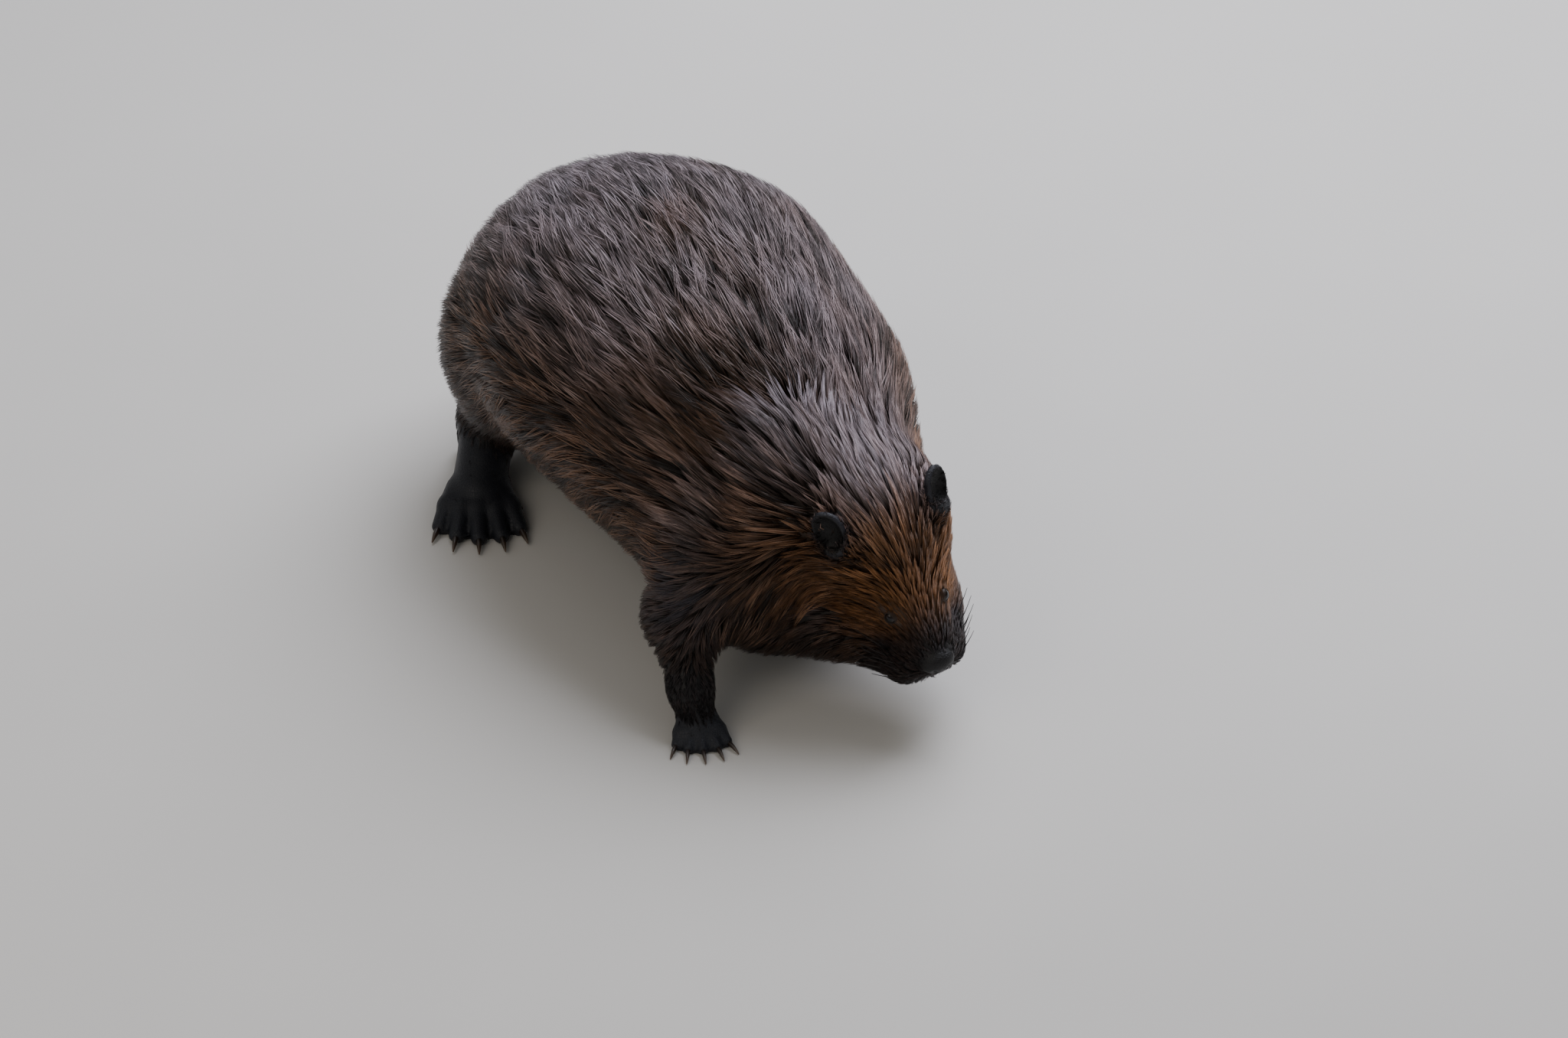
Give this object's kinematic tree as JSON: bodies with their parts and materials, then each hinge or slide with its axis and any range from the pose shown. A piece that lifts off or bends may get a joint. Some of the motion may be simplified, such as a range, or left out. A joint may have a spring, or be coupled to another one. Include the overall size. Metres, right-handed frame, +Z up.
{
  "type": "beaver",
  "caption": "Life-size adult beaver walking with its back arched, head lowered and flat scaly tail laid on the floor behind it.",
  "frame": {"origin": "middle of the underside of the whole animal's box, on the floor it stands on", "axes": "+X is the way it walks, +Y its left side, +Z up"},
  "size_m": [0.9208, 0.3974, 0.3686],
  "materials": {
    "coat": "long dark brown guard hair in wet, pointed locks, grey-mauve where it faces up",
    "head_coat": "short, warm red-brown hair in fine streaks",
    "nose_skin": "moist, finely pebbled black skin",
    "ear_skin": "thin dark skin with very short hair",
    "foot_skin": "bare blue-black skin, finely scaled, slightly shiny",
    "tail_skin": "dark grey skin in small overlapping scales",
    "claw_horn": "dark horn, lighter at the tip",
    "eye": "polished dark brown"
  },
  "bodies": {
    "root": {"trunk": "coat", "neck": "coat", "head": "head_coat", "nose": "nose_skin", "ear_right": "ear_skin", "eye_right": "eye", "ear_left": "ear_skin", "eye_left": "eye", "hind_leg_right": "coat", "hind_foot_right": "foot_skin", "hind_foot_right_claw_1": "claw_horn", "hind_foot_right_claw_2": "claw_horn", "hind_foot_right_claw_3": "claw_horn", "hind_foot_right_claw_4": "claw_horn", "hind_foot_right_claw_5": "claw_horn", "hind_leg_left": "coat", "hind_foot_left": "foot_skin", "hind_foot_left_claw_1": "claw_horn", "hind_foot_left_claw_2": "claw_horn", "hind_foot_left_claw_3": "claw_horn", "hind_foot_left_claw_4": "claw_horn", "hind_foot_left_claw_5": "claw_horn", "fore_leg_right": "coat", "fore_paw_right": "foot_skin", "fore_paw_right_claw_1": "claw_horn", "fore_paw_right_claw_2": "claw_horn", "fore_paw_right_claw_3": "claw_horn", "fore_paw_right_claw_4": "claw_horn", "fore_paw_right_claw_5": "claw_horn", "fore_leg_left": "coat", "fore_paw_left": "foot_skin", "fore_paw_left_claw_1": "claw_horn", "fore_paw_left_claw_2": "claw_horn", "fore_paw_left_claw_3": "claw_horn", "fore_paw_left_claw_4": "claw_horn", "fore_paw_left_claw_5": "claw_horn", "tail_root": "coat", "tail": "tail_skin"}
  },
  "joints": []
}
